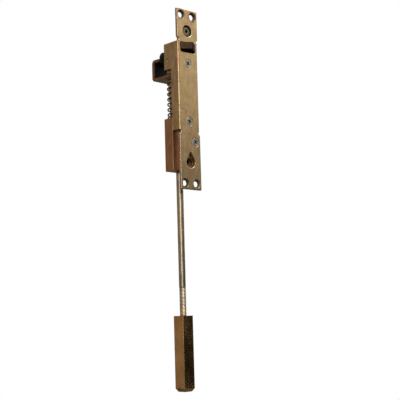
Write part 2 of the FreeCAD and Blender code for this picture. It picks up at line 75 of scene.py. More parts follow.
class Sock:  # an output socket that can be used in Python sums

    def __init__(self, graph, socket):
        self.graph = graph
        self.socket = socket

    def maths(self, operation, *others):
        values = dict(enumerate((self, *others)))
        return self.graph.make("ShaderNodeMath", {"operation": operation}, values)

    def __add__(self, other):
        return self.maths("ADD", other)

    def __radd__(self, other):
        return self.maths("ADD", other)

    def __mul__(self, other):
        return self.maths("MULTIPLY", other)

    def __rmul__(self, other):
        return self.maths("MULTIPLY", other)

    def __sub__(self, other):
        return self.maths("SUBTRACT", other)

    def __rsub__(self, other):
        return self.maths("MULTIPLY_ADD", -1, other)

    def __truediv__(self, other):
        return self.maths("DIVIDE", other)

    def __rtruediv__(self, other):
        return self.maths("POWER", -1) * other

    def clamp(self):
        return self.graph.make("ShaderNodeClamp", {}, {0: self})

    def step(self, low, high):  # 0 below low, 1 above high, smooth between
        span = {"interpolation_type": "SMOOTHSTEP"}
        return self.graph.make("ShaderNodeMapRange", span, {0: self, 1: low, 2: high, 3: 0, 4: 1})


class Graph:  # builds the nodes of a material, a world or a geometry tree

    def __init__(self, tree):
        self.tree = tree

    def add(self, kind, settings=None, inputs=None):
        node = self.tree.nodes.new(kind)
        for name, value in (settings or {}).items():
            setattr(node, name, value)
        for key, value in (inputs or {}).items():
            if isinstance(value, Sock):
                self.tree.links.new(value.socket, node.inputs[key])
            else:
                node.inputs[key].default_value = value
        return node

    def make(self, kind, settings=None, inputs=None, output=0):
        return Sock(self, self.add(kind, settings, inputs).outputs[output])

    def place(self):  # object coordinates
        return self.make("ShaderNodeTexCoord", {}, {}, "Object")

    def stretch(self, scale, turn=(0, 0, 0)):
        values = {"Vector": self.place(), "Scale": scale, "Rotation": turn}
        return self.make("ShaderNodeMapping", {}, values)

    def noise(self, vector, scale, detail, rough):
        values = {"Vector": vector, "Scale": scale, "Detail": detail, "Roughness": rough}
        return self.make("ShaderNodeTexNoise", {}, values, 0)

    def blend(self, factor, first, second, mode="MIX"):
        settings = {"data_type": "RGBA", "blend_type": mode}
        return self.make("ShaderNodeMix", settings, {0: factor, 6: first, 7: second}, 2)

    def colourOf(self, red, green, blue):
        return self.make("ShaderNodeCombineColor", {}, {0: red, 1: green, 2: blue})

    def split(self, vector):
        parts = self.add("ShaderNodeSeparateXYZ", {}, {0: vector})
        return [Sock(self, parts.outputs[i]) for i in range(3)]

    def rounded(self, radius):  # the normal of the surface with its edges rounded to a radius
        return self.make("ShaderNodeBevel", {"samples": 8}, {"Radius": radius})

    def edgeMask(self, rounded):  # 1 at outer and inner edges, 0 on flat faces
        flat = self.make("ShaderNodeNewGeometry", {}, {}, "Normal")
        dot = {"operation": "DOT_PRODUCT"}
        same = self.make("ShaderNodeVectorMath", dot, {0: rounded, 1: flat}, 1)
        return (1 - same).step(0.005, 0.1)

    def crevice(self, reach):  # painted shade: 1 deep in hollows and between parts, 0 in the open
        values = {"Distance": reach}
        return 1 - self.make("ShaderNodeAmbientOcclusion", {"samples": 12}, values, "AO")


def newMaterial(name):
    material = bpy.data.materials.new(name)
    material.use_nodes = True
    graph = Graph(material.node_tree)
    graph.tree.nodes.clear()
    return material, graph


def setSurface(graph, values):
    shader = graph.make("ShaderNodeBsdfPrincipled", {}, values)
    graph.add("ShaderNodeOutputMaterial", {}, {0: shader})


def bumped(graph, height, strength, inputs=None):
    values = {"Strength": strength, "Distance": 1, "Height": height, **(inputs or {})}
    return graph.make("ShaderNodeBump", {}, values)


def rgb(red, green, blue):  # 0-255 display values as a linear colour
    linear = []
    for value in (red, green, blue):
        c = value / 255
        linear.append(c / 12.92 if c <= 0.04045 else ((c + 0.055) / 1.055) ** 2.4)
    return (*linear, 1)


# finishes: colours as display values, sizes in metres; usual holds what a finish leaves out
# crevice is how far the painted shade in hollows and between parts reaches, creviceAmount how dark it gets
usual = {"crevice": 4 * mm, "creviceAmount": 0.85, "rounding": 0.3 * mm, "relief": 0.7}
finishes = {
    "plateZinc": {
        "slot": "plate_zinc", "main": (204, 171, 122), "pale": (226, 200, 158),
        "dark": (146, 110, 68), "tints": [(204, 154, 124), (186, 168, 112)],
        "tintAmount": 0.55, "roughness": 0.24, "grain": (500, 500, 50),
        # the pale cream edge colour is partly worn plating and partly a painted highlight along the fold
        "grainDepth": 0.01 * mm, "wear": (248, 238, 208), "wearAmount": 0.8,
        "rounding": 0.85 * mm, "stain": 0.5, "stainLow": 0.48,
    },
    "blockZinc": {
        "slot": "block_zinc", "main": (186, 138, 100), "pale": (204, 156, 116),
        "dark": (130, 90, 62), "tints": [(190, 128, 100), (172, 136, 92)], "tintAmount": 0.4,
        "roughness": 0.36, "grain": (500, 500, 60), "grainDepth": 0.012 * mm,
        # the long crevice reach paints shade on the block's recessed face behind the plate
        "wear": (190, 150, 112), "wearAmount": 0.2, "stain": 0.3, "crevice": 9 * mm,
    },
    "strapZinc": {
        "slot": "strap_zinc", "main": (152, 118, 80), "pale": (174, 142, 102),
        "dark": (92, 66, 42), "tints": [(142, 96, 70), (116, 104, 60)], "tintAmount": 0.5,
        "roughness": 0.36, "grain": (500, 60, 60), "grainDepth": 0.01 * mm,
        "wear": (196, 164, 116), "wearAmount": 0.4, "stain": 0.4,
    },
    "tubeZinc": {
        "slot": "strap_zinc", "main": (186, 152, 112), "pale": (206, 174, 134),
        "dark": (126, 96, 64), "tints": [(184, 140, 108), (168, 148, 100)], "tintAmount": 0.3,
        "roughness": 0.42, "grain": (500, 500, 60), "grainDepth": 0.004 * mm,
        "wear": (214, 186, 146), "wearAmount": 0.3, "stain": 0.2, "creviceAmount": 0.2,
    },
    # the trigger's dark brown is partly its own plating and partly painted shade of the opening it sits in
    "triggerZinc": {
        "slot": "trigger_zinc", "main": (72, 54, 40), "pale": (94, 74, 58),
        "dark": (38, 27, 21), "tints": [(66, 40, 36), (56, 50, 34)], "tintAmount": 0.4,
        "roughness": 0.4, "grain": (80, 700, 700), "grainDepth": 0.01 * mm,
        "wear": (128, 108, 84), "wearAmount": 0.5, "stain": 0.3,
    },
    "boltZinc": {
        "slot": "bolt_zinc", "main": (216, 170, 110), "pale": (230, 188, 130),
        "dark": (152, 108, 60), "tints": [(206, 142, 98), (184, 158, 88)], "tintAmount": 0.4,
        "roughness": 0.22, "grain": (900, 900, 40), "grainDepth": 0.001 * mm, "relief": 0.1,
        "wear": (204, 172, 118), "wearAmount": 0.35, "stain": 0.25,
    },
    "screwZinc": {
        "slot": "screw_zinc", "main": (176, 174, 160), "pale": (204, 202, 190),
        "dark": (104, 100, 86), "tints": [(180, 172, 146), (160, 170, 160)],
        "tintAmount": 0.3, "roughness": 0.3, "grain": (500, 500, 500),
        "grainDepth": 0.006 * mm, "wear": (226, 224, 214), "wearAmount": 0.5,
        "rounding": 0.2 * mm, "stain": 0.35,
    },
    "rodSteel": {
        "slot": "rod_steel", "main": (184, 170, 146), "pale": (218, 208, 188),
        "dark": (118, 98, 72), "tints": [(206, 178, 128), (190, 188, 160)], "tintAmount": 0.5,
        "roughness": 0.24, "grain": (900, 900, 20), "grainDepth": 0.0006 * mm, "relief": 0.05,
        "wear": (240, 232, 210), "wearAmount": 0.3, "rounding": 0.1 * mm, "stain": 0.3,
    },
    "springSteel": {
        "slot": "spring_steel", "main": (150, 128, 96), "pale": (176, 154, 120),
        "dark": (84, 68, 48), "tints": [(104, 92, 70), (96, 100, 80)], "tintAmount": 0.3,
        "roughness": 0.34, "grain": (300, 300, 300), "grainDepth": 0.006 * mm,
        "wear": (170, 164, 138), "wearAmount": 0.2, "stain": 0.4, "creviceAmount": 0.2,
    },
    "pinSteel": {
        "slot": "pin_steel", "main": (196, 160, 112), "pale": (212, 180, 134),
        "dark": (104, 76, 46), "tints": [(190, 146, 110), (176, 154, 104)], "tintAmount": 0.3,
        "roughness": 0.3, "grain": (400, 400, 400), "grainDepth": 0.006 * mm, "relief": 0.2,
        "wear": (204, 190, 160), "wearAmount": 0.4, "rounding": 0.05 * mm, "stain": 0.4,
        # strong painted shade down in the drilled dimple
        "crevice": 1.2 * mm, "creviceAmount": 0.95,
    },
    # the screw down in the upper hole: stained zinc, darkened further as painted shade of the hole
    "stainedZinc": {
        "slot": "screw_zinc", "main": (128, 116, 88), "pale": (176, 166, 136),
        "dark": (62, 52, 36), "tints": [(126, 100, 66), (108, 106, 76)], "tintAmount": 0.4,
        "roughness": 0.3, "grain": (500, 500, 500), "grainDepth": 0.006 * mm,
        "wear": (206, 196, 164), "wearAmount": 0.5, "rounding": 0.25 * mm, "stain": 0.6,
        "crevice": 3 * mm,
    },
    "blackenedPin": {
        "slot": "pin_steel", "main": (50, 42, 34), "pale": (66, 56, 46), "dark": (26, 21, 17),
        "tints": [(50, 36, 28), (40, 40, 28)], "tintAmount": 0.3, "roughness": 0.45,
        "grain": (400, 400, 400), "grainDepth": 0.006 * mm, "wear": (92, 80, 62),
        "wearAmount": 0.3, "stain": 0.4,
    },
    "bronze": {
        "slot": "bronze", "main": (196, 148, 88), "pale": (214, 172, 112),
        "dark": (120, 78, 42), "tints": [(188, 130, 80), (176, 148, 84)], "tintAmount": 0.3,
        "roughness": 0.38, "grain": (400, 400, 400), "grainDepth": 0.008 * mm,
        "wear": (226, 192, 136), "wearAmount": 0.4, "stain": 0.4,
    },
    "brassScrew": {
        "slot": "brass_screw", "main": (112, 90, 62), "pale": (140, 116, 84),
        "dark": (52, 38, 24), "tints": [(104, 74, 48), (92, 84, 56)], "tintAmount": 0.3,
        "roughness": 0.38, "grain": (400, 400, 400), "grainDepth": 0.008 * mm,
        "wear": (176, 150, 110), "wearAmount": 0.3, "stain": 0.5,
    },
}

# shared by the metals: noises are scale, detail and roughness, and a From is where one sets in
weather = {
    "broad": (70, 4, 0.55), "grain": (1, 4, 0.65), "speck": (1500, 2, 0.6),
    "patch": (210, 5, 0.6), "patchStretch": (1, 1, 0.45), "patchFrom": (0.3, 0.72),
    "film": (130, 2, 0.4), "filmStretch": (1.2, 1.2, 0.22), "filmTurn": (0.1, 0.06, 0.3),
    "warmFrom": (0.52, 0.68), "coolFrom": (0.54, 0.7), "mainShare": 0.62,
    "grainStreak": 0.5, "broadStreak": 0.6, "wearLeast": 0.75, "wearPatch": 0.4,
    "grimeFrom": (0.55, 0.68), "creviceFrom": (0.15, 0.7), "deepShare": 0.3, "dullShare": 0.5,
    "mark": (420, 5, 0.7), "markStretch": (1, 1, 0.6), "markFrom": (0.53, 0.62),
    "group": (46, 2, 0.5), "groupFrom": (0.5, 0.66), "markAmount": 0.55,
    "lowFrom": (0.045, 0.085), "lowPatchFrom": (0.42, 0.66),
    "holeRagged": 3 * mm, "holeFade": 0.36, "holeAmount": 0.88,
    "grainRough": 0.18, "patchRough": 0.16, "grimeRough": 0.25, "wearRough": -0.05,
    "speckDepth": 0.003 * mm, "patchDepth": 0.01 * mm, "bump": 0.35,
}


def handMarks(graph, place):  # smears in loose groups
    mark = graph.noise(graph.stretch(weather["markStretch"]), *weather["mark"])
    group = graph.noise(place, *weather["group"]).step(*weather["groupFrom"])
    return mark.step(*weather["markFrom"]) * group * weather["markAmount"]


# darker in patches towards the bottom of the plate
def darkerLow(graph, place, patch, amount):
    down = 0 - graph.split(place)[2]
    return down.step(*weather["lowFrom"]) * patch.step(*weather["lowPatchFrom"]) * amount


def holeStain(graph, place, patch, centre, reach):
    apart = {"operation": "DISTANCE"}
    away = graph.make("ShaderNodeVectorMath", apart, {0: place, 1: centre}, 1)
    near = reach - away - (patch - 0.5) * weather["holeRagged"]
    return near.step(0, reach * weather["holeFade"]) * weather["holeAmount"]


def metalFinish(name, look, stainedHoles=()):
    material, graph = newMaterial(name)
    place = graph.place()
    broad = graph.noise(place, *weather["broad"])
    patch = graph.noise(graph.stretch(weather["patchStretch"]), *weather["patch"])
    grain = graph.noise(graph.stretch(look["grain"]), *weather["grain"])
    speck = graph.noise(place, *weather["speck"])
    film = graph.noise(graph.stretch(weather["filmStretch"], weather["filmTurn"]), *weather["film"])

    colour = graph.blend(patch.step(*weather["patchFrom"]), rgb(*look["dark"]), rgb(*look["pale"]))
    colour = graph.blend(weather["mainShare"], colour, rgb(*look["main"]))
    warm, cool = look["tints"]
    colour = graph.blend(film.step(*weather["warmFrom"]) * look["tintAmount"], colour, rgb(*warm))
    coolFilm = (1 - film).step(*weather["coolFrom"])
    colour = graph.blend(coolFilm * look["tintAmount"], colour, rgb(*cool))
    streak = (grain - 0.5) * weather["grainStreak"] + (broad - 0.5) * weather["broadStreak"] + 1
    colour = graph.blend(1, colour, graph.colourOf(streak, streak, streak), "MULTIPLY")

    rounded = graph.rounded(look["rounding"])
    # edges take a paler colour: worn plating, and on the plate partly a painted highlight
    sheenAndWear = graph.edgeMask(rounded) * (patch * weather["wearPatch"] + weather["wearLeast"])
    sheenAndWear = sheenAndWear.clamp() * look["wearAmount"]
    colour = graph.blend(sheenAndWear, colour, rgb(*look["wear"]))

    grimeAndShade = (broad * 0.5 + speck * 0.5).step(*weather["grimeFrom"]) * look["stain"]
    # painted shade: the colour darkens where ambient occlusion finds hollows, creases and gaps between parts
    deep = graph.crevice(look["crevice"]).step(*weather["creviceFrom"]) * look["creviceAmount"]
    stainsAndShade = [deep]
    if "stainLow" in look:
        stainsAndShade += [handMarks(graph, place), darkerLow(graph, place, patch, look["stainLow"])]
    stainsAndShade += [holeStain(graph, place, patch, centre, reach) for centre, reach in stainedHoles]
    for stain in stainsAndShade:
        grimeAndShade = grimeAndShade.maths("MAXIMUM", stain)
    # dirt, smears, the darker low patches and the painted shade all pull the colour towards the dark tone
    colour = graph.blend(grimeAndShade, colour, rgb(*(c * weather["deepShare"] for c in look["dark"])))

    roughness = (grain - 0.5) * weather["grainRough"] + (patch - 0.5) * weather["patchRough"]
    roughness += look["roughness"] + grimeAndShade * weather["grimeRough"] + sheenAndWear * weather["wearRough"]
    relief = (speck * weather["speckDepth"] + patch * weather["patchDepth"]) * look["relief"]
    height = grain * look["grainDepth"] + relief
    setSurface(graph, {
        "Base Color": colour, "Roughness": roughness.clamp(),
        "Metallic": 1 - grimeAndShade * weather["dullShare"],
        "Normal": bumped(graph, height, weather["bump"], {"Normal": rounded}),
    })
    return material


nylon = {
    "dark": (5, 5, 5), "pale": (16, 14, 13), "scuffed": (36, 33, 30), "roughness": 0.5,
    "mottle": (900, 4, 0.6), "mottleDepth": 0.01 * mm, "scuff": (260, 3, 0.6),
    "scuffStretch": (1, 6, 6), "scuffFrom": (0.5, 0.7), "scuffAmount": 0.3, "scuffRough": 0.2,
    "scuffDepth": 0.006 * mm, "bump": 0.5, "specular": 0.25,
}


def nylonFinish(name):
    material, graph = newMaterial(name)
    mottle = graph.noise(graph.place(), *nylon["mottle"])
    scuff = graph.noise(graph.stretch(nylon["scuffStretch"]), *nylon["scuff"])
    scuff = scuff.step(*nylon["scuffFrom"])
    colour = graph.blend(mottle, rgb(*nylon["dark"]), rgb(*nylon["pale"]))
    colour = graph.blend(scuff * nylon["scuffAmount"], colour, rgb(*nylon["scuffed"]))
    height = mottle * nylon["mottleDepth"] + scuff * nylon["scuffDepth"]
    setSurface(graph, {
        "Base Color": colour, "Roughness": nylon["roughness"] + scuff * nylon["scuffRough"],
        "Specular IOR Level": nylon["specular"], "Normal": bumped(graph, height, nylon["bump"]),
    })
    return material


cornerStainReach = 5.6 * mm
cornerStains = []
for across in (-1, 1):
    for up in (-1, 1):
        centreX = across * plateHoles["spacing_x_mm"] / 2 * mm
        centreZ = up * plateHoles["spacing_y_mm"] / 2 * mm
        cornerStains.append(((centreX, 0, centreZ), cornerStainReach))

made, slotOf = {}, {}
for name, look in finishes.items():
    stained = cornerStains if name == "plateZinc" else ()
    made[name] = metalFinish(name, {**usual, **look}, stained)
    slotOf[name] = look["slot"]
made["blackNylon"] = nylonFinish("blackNylon")
slotOf["blackNylon"] = "black_nylon"
print("finishes made:", len(made))


def finishPiece(piece, finish, body, *replaced):
    if not piece.data.materials:
        piece.data.materials.append(made[finish])
    for i in range(len(piece.data.materials)):
        piece.data.materials[i] = made[finish]
    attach(piece, body)
    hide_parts(*replaced)
    return piece


def linked(name, data):  # a new object in the scene
    item = bpy.data.objects.new(name, data)
    bpy.context.scene.collection.objects.link(item)
    return item


def meshFrom(name, shape):
    mesh = bpy.data.meshes.new(name)
    shape.to_mesh(mesh)
    shape.free()
    return mesh


def baked(piece):  # the object with its modifiers turned into plain mesh
    bpy.context.view_layer.update()
    graph = bpy.context.evaluated_depsgraph_get()
    mesh = bpy.data.meshes.new_from_object(piece.evaluated_get(graph))
    piece.modifiers.clear()
    old = piece.data
    piece.data = mesh
    bpy.data.meshes.remove(old)
    return piece


def softEdges(mesh, degrees=32):
    mesh.shade_smooth()
    mesh.set_sharp_from_angle(angle=math.radians(degrees))


def evenNormals(piece, degrees=32):  # flat faces stay flat, and only the rounded edges shade round
    softEdges(piece.data, degrees)
    even = piece.modifiers.new("normals", "WEIGHTED_NORMAL")
    even.keep_sharp = True
    even.weight = 100
    return baked(piece)


def carve(piece, cutter, operation="DIFFERENCE"):
    tool = piece.modifiers.new("carve", "BOOLEAN")
    tool.operation = operation
    tool.solver = "EXACT"
    tool.object = cutter
    baked(piece)
    bpy.data.objects.remove(cutter)
    return piece


def roundedCopy(name, node, bevel, steps=3):  # the node's shape with small rounded edges
    shape = bmesh.new()
    shape.from_mesh(nodes[node].data)
    bmesh.ops.remove_doubles(shape, verts=shape.verts, dist=0.001 * mm)
    bmesh.ops.dissolve_limit(
        shape, angle_limit=math.radians(0.4), verts=shape.verts, edges=shape.edges,
        delimit={"NORMAL"})
    bmesh.ops.recalc_face_normals(shape, faces=shape.faces)
    piece = linked(name, meshFrom(name, shape))
    edges = piece.modifiers.new("edges", "BEVEL")
    edges.width = bevel
    edges.segments = steps
    edges.limit_method = "ANGLE"
    edges.angle_limit = math.radians(40)
    edges.miter_outer = "MITER_ARC"
    return evenNormals(baked(piece))


def circle(radius, height, steps, middle=(0, 0), start=0):
    points = []
    for i in range(steps):
        a = start + 2 * math.pi * i / steps
        points.append((middle[0] + radius * math.cos(a), middle[1] + radius * math.sin(a), height))
    return points


def revolve(name, profile, centre, axis, steps=48):  # a turned shape from (radius, along) pairs
    shape = bmesh.new()
    turn = Vector((0, 0, 1)).rotation_difference(Vector(axis)).to_matrix().to_4x4()
    rings = []
    for radius, along in profile:
        points = circle(radius, along, steps) if radius > 1e-7 else [(0, 0, along)]
        rings.append([shape.verts.new(point) for point in points])
    pairs = list(zip(rings, rings[1:]))
    if len(rings[0]) > 1:
        pairs.append((rings[-1], rings[0]))
    for low, high in pairs:
        if len(low) == 1 and len(high) == 1:
            continue
        for i in range(steps):
            j = (i + 1) % steps
            if len(low) == 1:
                shape.faces.new((low[0], high[j], high[i]))
            elif len(high) == 1:
                shape.faces.new((low[i], low[j], high[0]))
            else:
                shape.faces.new((low[i], low[j], high[j], high[i]))
    bmesh.ops.recalc_face_normals(shape, faces=shape.faces)
    mesh = meshFrom(name, shape)
    mesh.transform(Matrix.Translation(centre) @ turn)
    softEdges(mesh)
    return linked(name, mesh)


def loft(name, loops):  # a closed solid through loops that have the same number of points
    shape = bmesh.new()
    rows = [[shape.verts.new(point) for point in loop] for loop in loops]
    for low, high in zip(rows, rows[1:]):
        for i in range(len(low)):
            j = (i + 1) % len(low)
            shape.faces.new((low[i], low[j], high[j], high[i]))
    shape.faces.new(list(reversed(rows[0])))
    shape.faces.new(rows[-1])
    bmesh.ops.recalc_face_normals(shape, faces=shape.faces)
    return linked(name, meshFrom(name, shape))


# cast, bent and stamped pieces with small rounded edges: node: name, finish, bevel in mm, body
plainPieces = {
    "faceplate": ("faceplateShell", "plateZinc", 0.5, "housing"),
    "guide_block": ("guideBlockCast", "blockZinc", 0.3, "housing"),
    "trigger_carrier": ("triggerCarrierCast", "blockZinc", 0.2, "housing"),
    "upper_bracket": ("upperBracketBent", "plateZinc", 0.2, "housing"),
    "guide_screw": ("guideScrewTurned", "brassScrew", 0.15, "housing"),
    "jack_screw": ("jackScrewTurned", "stainedZinc", 0.35, "housing"),
    "trigger": ("triggerWedge", "triggerZinc", 0.25, "trigger_slider"),
    "lever_plate_left": ("leverCheekLeft", "strapZinc", 0.2, "cam_lever"),
    "lever_plate_right": ("leverCheekRight", "strapZinc", 0.2, "cam_lever"),
    "yoke": ("yokeStrap", "strapZinc", 0.2, "bolt_slide"),
    "yoke_pad": ("yokePadMoulded", "blackNylon", 0.25, "bolt_slide"),
    "rod_clip": ("rodClipStamped", "springSteel", 0.1, "bolt_slide"),
    "bolt_head": ("boltHeadSquare", "boltZinc", 0.3, "bolt_slide"),
}
for node, (name, finish, bevel, body) in plainPieces.items():
    finishPiece(roundedCopy(name, node, bevel * mm), finish, body, node)
print("rounded pieces:", len(plainPieces))


def guideBore(node, wall):
    low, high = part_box(node)
    return (high.x - low.x) / mm - 2 * wall


# bushes, washers and guide tubes round the rod: node: name, finish, body, bore and edge in mm
guideWall = 0.6
sleeveBore, tubeBore = guideBore("spring_sleeve", guideWall), guideBore("yoke_tube", guideWall)
rings = {
    "upper_bush": ("upperBushRing", "bronze", "housing", 6.55, 0.25),
    "lower_bush": ("lowerBushRing", "bronze", "housing", 6.55, 0.25),
    "spring_seat": ("springSeatWasher", "screwZinc", "housing", 6.75, 0.18),
    "rod_washer": ("rodWasherRing", "screwZinc", "bolt_slide", 6.75, 0.18),
    "override_seat": ("overrideSeatWasher", "screwZinc", "bolt_slide", 6.75, 0.18),
    "spring_sleeve": ("springSleeveTube", "tubeZinc", "housing", sleeveBore, 0.12),
    "yoke_tube": ("yokeGuideTube", "tubeZinc", "bolt_slide", tubeBore, 0.12),
}


def turnedRing(name, node, finish, body, bore, edge, steps=64):  # a ring with broken edges
    low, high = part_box(node)
    outer, inner, tall = (high.x - low.x) / 2, bore / 2, high.z - low.z
    profile = [
        (inner + edge, 0), (outer - edge, 0), (outer, edge), (outer, tall - edge),
        (outer - edge, tall), (inner + edge, tall), (inner, tall - edge), (inner, edge),
    ]
    piece = revolve(name, profile, Vector((0, rodAxisY, low.z)), (0, 0, 1), steps)
    return finishPiece(piece, finish, body, node)


for node, (name, finish, body, bore, edge) in rings.items():
    turnedRing(name, node, finish, body, bore * mm, edge * mm)


def turnedAcross(name, node, finish, body, half, steps=56):  # a shape that is the same at both ends
    low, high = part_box(node)
    centre = Vector((low.x, (low.y + high.y) / 2, (low.z + high.z) / 2))
    near = half((high.z - low.z) / 2)
    far = [(r, high.x - low.x - along) for r, along in reversed(near)]
    piece = revolve(name, near + far, centre, (1, 0, 0), steps)
    return finishPiece(piece, finish, body, node)


roller = {
    "bore": 1.55 * mm, "hub": 2.5 * mm, "hubRecess": 0.35 * mm, "lip": 0.2 * mm,
    "edge": 0.55 * mm, "edgeAngles": (0, 0.4, 0.8, 1.2, 1.5708),
}


def rollerHalf(radius):
    edge, hub, deep = roller["edge"], roller["hub"], roller["hubRecess"]
    half = [(roller["bore"], deep), (hub, deep), (hub + roller["lip"], 0)]
    for t in roller["edgeAngles"]:
        half.append((radius - edge * (1 - math.sin(t)), edge * (1 - math.cos(t))))
    return half


pins = {
    "head": 0.5 * mm, "headEdge": 0.15 * mm, "headStep": 0.6 * mm, "edge": 0.25 * mm,
    "dimple": 0.65 * mm, "dimpleDeep": 1.6 * mm, "dimpleLip": 0.12 * mm, "lipWidth": 0.1 * mm,
    "dimpleFloor": 0.75, "floorRise": 0.92, "hubBore": 1.65 * mm,
}


def headedHalf(radius):
    head, edge, shank = pins["head"], pins["headEdge"], radius - pins["headStep"]
    return [(0, 0), (radius - edge * 2, 0), (radius, edge), (radius, head), (shank, head)]


def stakedHalf(radius):  # a drilled dimple holds the end of the pin
    edge, dimple, deep = pins["edge"], pins["dimple"], pins["dimpleDeep"]
    return [
        (0, deep), (dimple * pins["dimpleFloor"], deep * pins["floorRise"]),
        (dimple, pins["dimpleLip"]), (dimple + pins["lipWidth"], 0),
        (radius - edge, 0), (radius, edge),
    ]


def hubHalf(radius):
    edge, bore = pins["edge"], pins["hubBore"]
    return [(bore, edge), (bore + edge, 0), (radius - edge, 0), (radius, edge)]


turnedAcross("rollerLeftTyre", "roller_left", "blackNylon", "left_roller", rollerHalf)
turnedAcross("rollerRightTyre", "roller_right", "blackNylon", "right_roller", rollerHalf)
turnedAcross("rollerPinHeaded", "roller_pin", "blackenedPin", "bolt_slide", headedHalf)
turnedAcross("leverPinStaked", "lever_pin", "pinSteel", "housing", stakedHalf)
turnedAcross("toePinStaked", "toe_pin", "pinSteel", "cam_lever", stakedHalf)
turnedAcross("leverHubTube", "lever_hub", "bronze", "cam_lever", hubHalf)
print("turned pieces made")


def newTree(name, inputs):
    tree = bpy.data.node_groups.new(name, "GeometryNodeTree")
    tree.interface.new_socket("Geometry", in_out="INPUT", socket_type="NodeSocketGeometry")
    ids = {}
    for label, value in inputs.items():
        entry = tree.interface.new_socket(label, in_out="INPUT", socket_type="NodeSocketFloat")
        entry.default_value = value
        ids[label] = entry.identifier
    tree.interface.new_socket("Geometry", in_out="OUTPUT", socket_type="NodeSocketGeometry")
    graph = Graph(tree)
    start = graph.add("NodeGroupInput")
    values = {label: Sock(graph, start.outputs[label]) for label in ("Geometry", *inputs)}
    return tree, graph, values, ids


def endTree(graph, geometry, material):
    real = graph.make("GeometryNodeRealizeInstances", {}, {0: geometry})
    painted = graph.make("GeometryNodeSetMaterial", {}, {0: real, "Material": material})
    graph.add("NodeGroupOutput", {}, {0: painted})


def grown(name, tree, ids, values, mesh=None):  # runs a tree and keeps the plain mesh
    piece = linked(name, mesh or bpy.data.meshes.new(name))
    grow = piece.modifiers.new("grow", "NODES")
    grow.node_group = tree
    for label, value in values.items():
        grow[ids[label]] = value
    return baked(piece)


# springs wound round the rod: node: name, body, turns, closed turns at each end, wire in mm
springs = {
    "return_spring": ("returnSpringCoil", "housing", 9.0, 1.0, 1.4),
    "override_spring": ("overrideSpringCoil", "bolt_slide", 9.0, 1.0, 1.2),
}
winding = {"pointsPerTurn": 36, "wireFaces": 14}


def coilTree(material):
    tree, graph, value, ids = newTree("windSpring", {
        "Turns": 10.0, "Closed": 1.0, "Radius": 8 * mm, "Wire": 1 * mm, "Height": 40 * mm,
        "Base": 0, "Axis Y": 0,
    })
    turns, closed, wire = value["Turns"], value["Closed"], value["Wire"]
    count = (turns * winding["pointsPerTurn"]).maths("ROUND")
    line = graph.make("GeometryNodeCurvePrimitiveLine")
    points = graph.make("GeometryNodeResampleCurve", {}, {"Curve": line, "Count": count})
    turn = graph.make("GeometryNodeInputIndex") / (count - 1) * turns
    free = turns - closed * 2
    ends = turn.maths("MINIMUM", closed) + (turn - turns + closed).maths("MAXIMUM", 0)
    spread = (turn - closed).maths("MAXIMUM", 0).maths("MINIMUM", free)
    pitch = (value["Height"] - wire - wire * closed * 2) / free
    angle = turn * (2 * math.pi)
    spot = graph.make("ShaderNodeCombineXYZ", {}, {
        0: angle.maths("COSINE") * value["Radius"],
        1: angle.maths("SINE") * value["Radius"] + value["Axis Y"],
        2: value["Base"] + wire * 0.5 + ends * wire + spread * pitch,
    })
    placed = graph.make("GeometryNodeSetPosition", {}, {"Geometry": points, "Position": spot})
    wireRound = {"Resolution": winding["wireFaces"], "Radius": wire * 0.5}
    ring = graph.make("GeometryNodeCurvePrimitiveCircle", {}, wireRound)
    swept = {"Curve": placed, "Profile Curve": ring, "Fill Caps": True}
    body = graph.make("GeometryNodeCurveToMesh", {}, swept)
    endTree(graph, graph.make("GeometryNodeSetShadeSmooth", {}, {0: body}), material)
    return tree, ids


coils, coilIds = coilTree(made["springSteel"])
for node, (name, body, turns, closed, wire) in springs.items():
    low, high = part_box(node)
    tall = high.z - low.z
    piece = grown(name, coils, coilIds, {
        "Turns": turns, "Closed": closed, "Wire": wire * mm, "Base": low.z, "Height": tall,
        "Radius": (high.x - low.x - wire * mm) / 2, "Axis Y": rodAxisY,
    })
    finishPiece(piece, "springSteel", body, node)
    if node == "return_spring":
        (tall - throw) / tall
        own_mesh(piece)
print("springs wound")


# pull rod: rolled threads at both ends, clip groove, and a keyway for the guide screw
rod = {
    "pitch": 1.27 * mm, "threadDepth": 0.42 * mm, "lowerThread": 48 * mm, "upperThread": 9.5 * mm,
    "fadePitches": 1.5, "rowsPerPitch": 6, "steps": 40, "plainRows": 12, "edge": 0.5 * mm,
    "groove": 0.57 * mm, "grooveSide": 0.01 * mm,
    "keyHalf": 1.55 * mm, "keyDeep": 1.4 * mm, "keyReach": 1.7 * mm, "keySteps": 8,
}
rodRadius = (rodHigh.x - rodLow.x) / 2
lowerThreadTop = rodLow.z + rod["lowerThread"]
upperThreadBottom = rodHigh.z - rod["upperThread"]
clipLow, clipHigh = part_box("rod_clip")


def rodHeights():  # close rows on the threads, few between them
    step = rod["pitch"] / rod["rowsPerPitch"]
    heights = []
    z = rodLow.z
    while z < lowerThreadTop:
        heights.append(z)
        z += step
    for i in range(1, rod["plainRows"]):
        heights.append(z + (clipLow.z - z) * i / rod["plainRows"])
    side = rod["grooveSide"]
    heights += [clipLow.z - side, clipLow.z, clipHigh.z, clipHigh.z + side]
    z = upperThreadBottom
    while z < rodHigh.z - step / 2:
        heights.append(z)
        z += step
    return heights + [rodHigh.z]


def rodCut(z, share):  # how far the surface lies below the full radius
    if clipLow.z - 0.001 * mm < z < clipHigh.z + 0.001 * mm:
        return rod["groove"]
    fade = rod["fadePitches"] * rod["pitch"]
    threaded = max(lowerThreadTop - z, z - upperThreadBottom) / fade
    turned = (z / rod["pitch"] - share) % 1
    thread = abs(turned - 0.5) * 2 * rod["threadDepth"] * min(1, max(0, threaded))
    return max(thread, rod["edge"] - min(z - rodLow.z, rodHigh.z - z))


